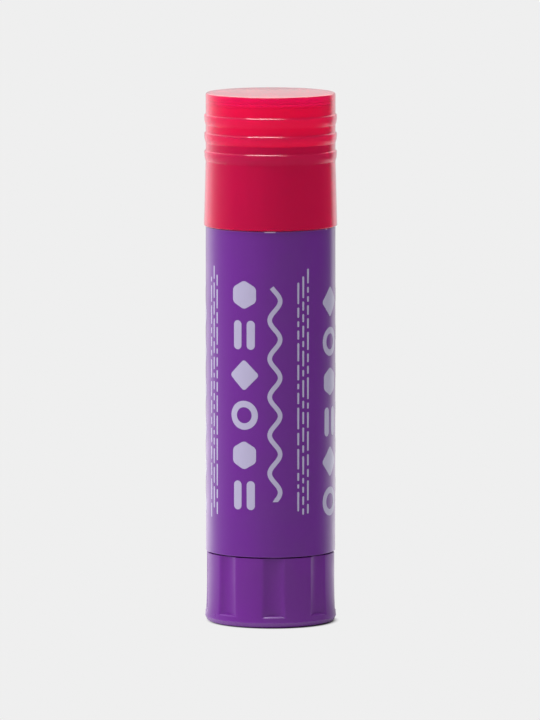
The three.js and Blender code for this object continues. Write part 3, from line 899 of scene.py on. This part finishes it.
ink = bmesh.new()
for band in range(BAND_COUNT):
    across = (band - BAND_COUNT / 2) * band_pitch + band_pitch - FIRST_COLUMN
    second = band % 2
    for index in range(MOTIFS_PER_BAND):
        height = LABEL_BOTTOM + MOTIF_START + MOTIF_STAGGER * second + index * MOTIF_PITCH
        kind = (index + 2 * band) % MOTIF_KINDS
        if kind == 0:
            ring(ink, across, height, MOTIF_RADIUS, RING_WIDTH)
        elif kind == 1:
            soft_polygon(ink, across, height, MOTIF_RADIUS * DIAMOND_SCALE, sides=4)
        elif kind == 2:
            low, high = height - MOTIF_RADIUS, height + MOTIF_RADIUS
            for side in (-BAR_OFFSET, BAR_OFFSET):
                dash(ink, across + side, low, high, BAR_WIDTH, ROUND_SIDES)
        else:
            soft_polygon(ink, across, height, MOTIF_RADIUS, sides=6)
    low, high = LABEL_BOTTOM + WAVE_START + WAVE_STAGGER * second, LABEL_TOP - WAVE_MARGIN
    wave(ink, across + WAVE_OFFSET, low, high, WAVE_WIDTH, WAVE_SWING, WAVE_LENGTH)
    for offset in DASH_OFFSETS:
        height = LABEL_BOTTOM + DASH_START + dash_lengths.uniform(0, DASH_STAGGER)
        while height < LABEL_TOP - DASH_MARGIN:
            length = dash_lengths.uniform(*DASH_LENGTHS)
            dash(ink, across + offset, height, height + length, DASH_WIDTH)
            height += length + DASH_GAP
print("the print has", len(ink.faces), "flat shapes in", BAND_COUNT, "bands")

# %% [markdown]
# A long flat face can't follow a curve, so the sheet is sliced first. Each point then goes to its turn round
# the label, a hair outside the film.

# %% Bend the print round the label
left_end = min(point.co.x for point in ink.verts)
right_end = max(point.co.x for point in ink.verts)
for slice_index in range(1, int((right_end - left_end) / SLICE) + 1):
    place = (left_end + slice_index * SLICE, 0, 0)
    whole = ink.verts[:] + ink.edges[:] + ink.faces[:]
    bmesh.ops.bisect_plane(ink, geom=whole, plane_co=place, plane_no=(1, 0, 0), dist=SLICE_TOLERANCE)
for point in ink.verts:
    turn = point.co.x / print_radius
    degrees = math.degrees(turn) + 360
    if degrees > STRIP_START_DEGREES + 360 + OVERLAP_DEGREES:
        degrees -= 360
    radius = film_radius(degrees) + INK_LIFT
    point.co = Vector((radius * math.sin(turn), -radius * math.cos(turn), point.co.z)) * MM
for face in ink.faces:
    if face.normal.dot(Vector((*face.calc_center_median().xy, 0))) < 0:
        face.normal_flip()
print_piece = finished("label_print", ink, "barrel", [label_ink])
ink_layer = print_piece.modifiers.new("ink_thickness", "SOLIDIFY")
ink_layer.thickness = INK_THICKNESS * MM
ink_layer.offset = 1

# %% [markdown]
# The spindle and the carrier stay as the frame has them. They are buried in the glue and the barrel, so they
# only need the look of natural, uncoloured plastic.

# %% Inner pieces
for name in ("spindle", "carrier"):
    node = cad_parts[name]
    node.data.materials.clear()
    node.data.materials.append(natural_plastic)

# %% [markdown]
# The stage is a pale floor that runs out into a background of the same tone. The floor is a ring that is open
# under the stick, and it isn't seen from below. The camera, and rays that have passed through the clear cap,
# see it at the background's tone. Close round the foot it shows its own lit surface instead, so the stick
# keeps its contact shadow; there the floor's colour is also painted dark grey, a painted contact shadow that
# sits a little to the right of the foot. Farther out, a reflection of the floor takes its tone from the way it
# faces, as a room with pale and dark walls would give it. The room itself has a second list of such tones.

# %% Floor
BACKGROUND = 0.863
FLOOR_RADIUS = 0.3
FLOOR_HOLE = 0.0095
FLOOR_SIDES = 128
SHADOW_PLACE = (0.0003, 0, 0)
SHADOW_NEAR = 0.0098
SHADOW_FAR = 0.0109
MIRRORED_NEAR = 0.013
MIRRORED_FAR = 0.02
# The dark grey of the painted contact shadow round the foot.
PAINTED_SHADOW_COLOUR = (0.25, 0.25, 0.25)
FLOOR_COLOUR = (0.8, 0.8, 0.8)
TOP_TONE = 2
ROOM_TONES = (
    (-180, 0.06),
    (-112, 0.1),
    (-90, 0.28),
    (-75, 0.48),
    (-62, 0.8),
    (-48, 1.35),
    (-28, 1.3),
    (-12, 0.8),
    (8, 0.75),
    (36, 1.1),
    (49, 0.12),
    (80, 0.05),
    (180, 0.05),
)
FLOOR_TONES = (
    (-180, 0.06),
    (-112, 0.1),
    (-90, 0.4),
    (-75, 0.65),
    (-62, 1.1),
    (-48, 1.8),
    (-28, 1.7),
    (-12, 1.2),
    (8, 1.2),
    (36, 1.5),
    (49, 1),
    (62, 0.8),
    (75, 0.3),
    (95, 0.05),
    (180, 0.05),
)

floor_mesh = bmesh.new()
for rim in (FLOOR_RADIUS, FLOOR_HOLE):
    bmesh.ops.create_circle(floor_mesh, cap_ends=False, segments=FLOOR_SIDES, radius=rim)
bmesh.ops.bridge_loops(floor_mesh, edges=floor_mesh.edges[:])
for face in floor_mesh.faces:
    if face.normal.z < 0:
        face.normal_flip()
floor_data = bpy.data.meshes.new("floor")
floor_mesh.to_mesh(floor_data)
floor_mesh.free()
floor = bpy.data.objects.new("floor", floor_data)
bpy.context.collection.objects.link(floor)


def ray_is(nodes, links, *kinds):
    """One where a ray is of one of the kinds, and nought elsewhere."""
    ray = nodes.new("ShaderNodeLightPath")
    value = ray.outputs[kinds[0]]
    for kind in kinds[1:]:
        either = nodes.new("ShaderNodeMath")
        either.operation = "MAXIMUM"
        links.new(value, either.inputs[0])
        links.new(ray.outputs[kind], either.inputs[1])
        value = either.outputs["Value"]
    return value


def mirrored_tone(nodes, links, direction, tones):
    """How bright the room looks in a reflection, by how far a direction turns from straight behind."""
    split = nodes.new("ShaderNodeSeparateXYZ")
    links.new(direction, split.inputs["Vector"])
    turn = nodes.new("ShaderNodeMath")
    turn.operation = "ARCTAN2"
    links.new(split.outputs["X"], turn.inputs[0])
    links.new(split.outputs["Y"], turn.inputs[1])
    ramp = nodes.new("ShaderNodeValToRGB")
    stops = ramp.color_ramp.elements
    while len(stops) < len(tones):
        stops.new(0.5)
    for stop, (degrees, tone) in zip(stops, tones):
        stop.position = degrees / 360 + 0.5
        stop.color = (tone / TOP_TONE, tone / TOP_TONE, tone / TOP_TONE, 1)
    links.new(spread(nodes, links, turn.outputs["Value"], 0, 1, -math.pi, math.pi), ramp.inputs["Fac"])
    return spread(nodes, links, ramp.outputs["Color"], 0, TOP_TONE, 0, 1)


def mixed(nodes, links, factor, first, second):
    """Two shaders mixed by a factor."""
    mix = nodes.new("ShaderNodeMixShader")
    links.new(factor, mix.inputs["Fac"])
    links.new(first, mix.inputs[1])
    links.new(second, mix.inputs[2])
    return mix.outputs["Shader"]


floor_material, nodes, links, shader = shader_of("pale_floor")
nodes.remove(shader)
place = nodes.new("ShaderNodeTexCoord")
from_shadow = nodes.new("ShaderNodeVectorMath")
from_shadow.operation = "DISTANCE"
from_shadow.inputs[1].default_value = SHADOW_PLACE
links.new(place.outputs["Object"], from_shadow.inputs[0])
open_floor = spread(nodes, links, from_shadow.outputs["Value"], 0, 1, SHADOW_NEAR, SHADOW_FAR)

matt = nodes.new("ShaderNodeBsdfDiffuse")
# Painted contact shadow: the floor's matt colour turns dark grey close round the foot, off-centre to the
# right.
links.new(blended(nodes, links, open_floor, PAINTED_SHADOW_COLOUR, FLOOR_COLOUR), matt.inputs["Color"])
shown = nodes.new("ShaderNodeEmission")
shown.inputs["Color"].default_value = (BACKGROUND, BACKGROUND, BACKGROUND, 1)
outward = nodes.new("ShaderNodeVectorMath")
outward.operation = "NORMALIZE"
links.new(place.outputs["Object"], outward.inputs[0])
mirrored = nodes.new("ShaderNodeEmission")
links.new(mirrored_tone(nodes, links, outward.outputs["Vector"], FLOOR_TONES), mirrored.inputs["Strength"])

shown_here = product(
    nodes, links, open_floor, ray_is(nodes, links, "Is Camera Ray", "Is Transmission Ray"))
far_floor = spread(nodes, links, from_shadow.outputs["Value"], 0, 1, MIRRORED_NEAR, MIRRORED_FAR)
mirrored_here = product(nodes, links, far_floor, ray_is(nodes, links, "Is Glossy Ray"))
surface = mixed(nodes, links, shown_here, matt.outputs["BSDF"], shown.outputs["Emission"])
surface = mixed(nodes, links, mirrored_here, surface, mirrored.outputs["Emission"])
from_below = nodes.new("ShaderNodeNewGeometry").outputs["Backfacing"]
unseen = nodes.new("ShaderNodeBsdfTransparent").outputs["BSDF"]
surface = mixed(nodes, links, from_below, surface, unseen)
links.new(surface, nodes["Material Output"].inputs["Surface"])
floor_data.materials.append(floor_material)

# %% [markdown]
# The world lights the stick evenly from all sides. The camera sees it at the background's tone, and it is a
# little brighter behind the clear cap. In reflections it has the tones of the room, raised high up in front
# of the stick and behind it.

# %% World
WORLD_LIGHT = 0.66
SEEN_THROUGH = 1.2
ABOVE_TONE = 3.2
ABOVE_RANGE = (0.15, 0.45)
BEHIND_RANGE = (0.3, 0.5)

world = bpy.data.worlds.new("pale_world")
bpy.context.scene.world = world
world.use_nodes = True
world.cycles.sampling_method = "NONE"
nodes = world.node_tree.nodes
links = world.node_tree.links
nodes.clear()


def surroundings(strength):
    """A background of one tone, whose strength is a number or comes from a node."""
    background = nodes.new("ShaderNodeBackground")
    background.inputs["Color"].default_value = (1, 1, 1, 1)
    if isinstance(strength, float):
        background.inputs["Strength"].default_value = strength
    else:
        links.new(strength, background.inputs["Strength"])
    return background.outputs["Background"]


direction = nodes.new("ShaderNodeTexCoord").outputs["Generated"]
split = nodes.new("ShaderNodeSeparateXYZ")
links.new(direction, split.inputs["Vector"])
above = spread(nodes, links, split.outputs["Z"], 0, 1, *ABOVE_RANGE)
sideways = nodes.new("ShaderNodeMath")
sideways.operation = "ABSOLUTE"
links.new(split.outputs["X"], sideways.inputs[0])
behind = spread(nodes, links, sideways.outputs["Value"], 1, 0, *BEHIND_RANGE)
raised = spread(nodes, links, product(nodes, links, above, behind), 1, ABOVE_TONE, 0, 1)
tone = product(nodes, links, mirrored_tone(nodes, links, direction, ROOM_TONES), raised)
whole = surroundings(WORLD_LIGHT)
for kind, strength in (
    ("Is Glossy Ray", tone),
    ("Is Transmission Ray", SEEN_THROUGH),
    ("Is Camera Ray", BACKGROUND),
):
    whole = mixed(nodes, links, ray_is(nodes, links, kind), whole, surroundings(strength))
output = nodes.new("ShaderNodeOutputWorld")
links.new(whole, output.inputs["Surface"])

# %% [markdown]
# A broad lamp stands on the left, a weaker one on the right and a softbox overhead. The two at the sides only
# light what is matt, and the one overhead shows in reflections too. The camera doesn't see them, and neither
# do rays that have passed through the clear cap.

# %% Lamps
LAMP_AIM = Vector((0, 0, 0.045))


def softbox(name, azimuth, elevation, distance, width, height, radiance, mirrored):
    """A broad lamp that faces the stick from a direction, where azimuth 0 is the front and 90 the right."""
    turn = math.radians(azimuth)
    rise = math.radians(elevation)
    out = Vector((math.sin(turn) * math.cos(rise), -math.cos(turn) * math.cos(rise), math.sin(rise)))
    data = bpy.data.lights.new(name, "AREA")
    data.shape = "RECTANGLE"
    data.size = width
    data.size_y = height
    data.energy = radiance * math.pi * width * height
    lamp = bpy.data.objects.new(name, data)
    lamp.location = LAMP_AIM + out * distance
    lamp.rotation_euler = (-out).to_track_quat("-Z", "Y").to_euler()
    lamp.visible_camera = False
    lamp.visible_transmission = False
    lamp.visible_glossy = mirrored
    bpy.context.collection.objects.link(lamp)


softbox(
    "left_softbox", azimuth=-78, elevation=24, distance=0.9,
    width=0.6, height=0.5, radiance=9.5, mirrored=False)
softbox(
    "right_softbox", azimuth=80, elevation=25, distance=1,
    width=0.3, height=0.5, radiance=1.6, mirrored=False)
softbox(
    "top_softbox", azimuth=-17, elevation=77, distance=0.9,
    width=0.67, height=0.22, radiance=10, mirrored=True)
